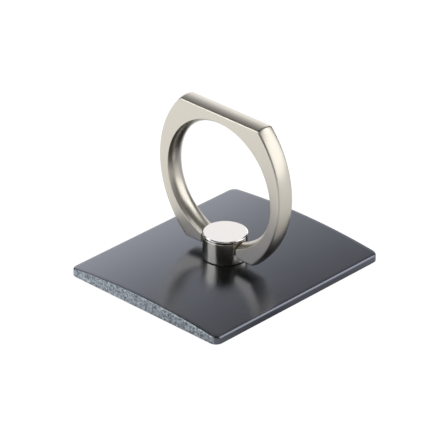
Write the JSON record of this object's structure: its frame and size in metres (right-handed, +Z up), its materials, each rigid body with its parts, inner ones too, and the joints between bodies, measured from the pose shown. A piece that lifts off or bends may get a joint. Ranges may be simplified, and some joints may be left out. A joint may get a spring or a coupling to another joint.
{
  "type": "phone ring holder",
  "caption": "Finger grip and stand for the back of a phone: arched adhesive plate, swivelling chromed hub and a flat-topped finger ring that folds on a friction hinge.",
  "frame": {"origin": "middle of the adhesive pad's lower face, on the phone's back", "axes": "+X along the ring's hinge and across the plate's arch, +Y along the plate's longer, straight side, +Z up from the phone through the hub's swivel axis"},
  "size_m": [0.0344, 0.04, 0.0302],
  "materials": {
    "adhesive_foam": "matt black acrylic foam tape",
    "plate": "black anodised, semi-gloss top and grainy blasted end faces",
    "glide_washer": "black polymer film",
    "hub_chrome": "polished black-nickel chrome",
    "cap_chrome": "bright polished chrome",
    "friction_shoe": "natural moulded acetal",
    "spring_steel": "blued spring steel",
    "zinc_steel": "zinc-plated steel",
    "ring_nickel": "satin pearl nickel over cast zinc alloy"
  },
  "bodies": {
    "base": {"base_plate": "plate", "adhesive_pad": "adhesive_foam", "glide_washer": "glide_washer"},
    "hub": {"hub_barrel": "hub_chrome", "hub_cap": "cap_chrome", "friction_shoe": "friction_shoe", "hinge_spring": "spring_steel", "swivel_spring": "spring_steel", "clamp_washer": "zinc_steel", "swivel_screw": "zinc_steel"},
    "ring": {"finger_ring": "ring_nickel"}
  },
  "joints": [
    {"name": "swivel", "type": "hinge", "parent": "base", "child": "hub", "pos_m": [0, 0, 0.0025], "axis": [0, 0, 1], "continuous": true},
    {"name": "ring_hinge", "type": "hinge", "parent": "hub", "child": "ring", "pos_m": [0, 0, 0.00495], "axis": [1, 0, 0], "range_deg": [-90, 90]}
  ]
}
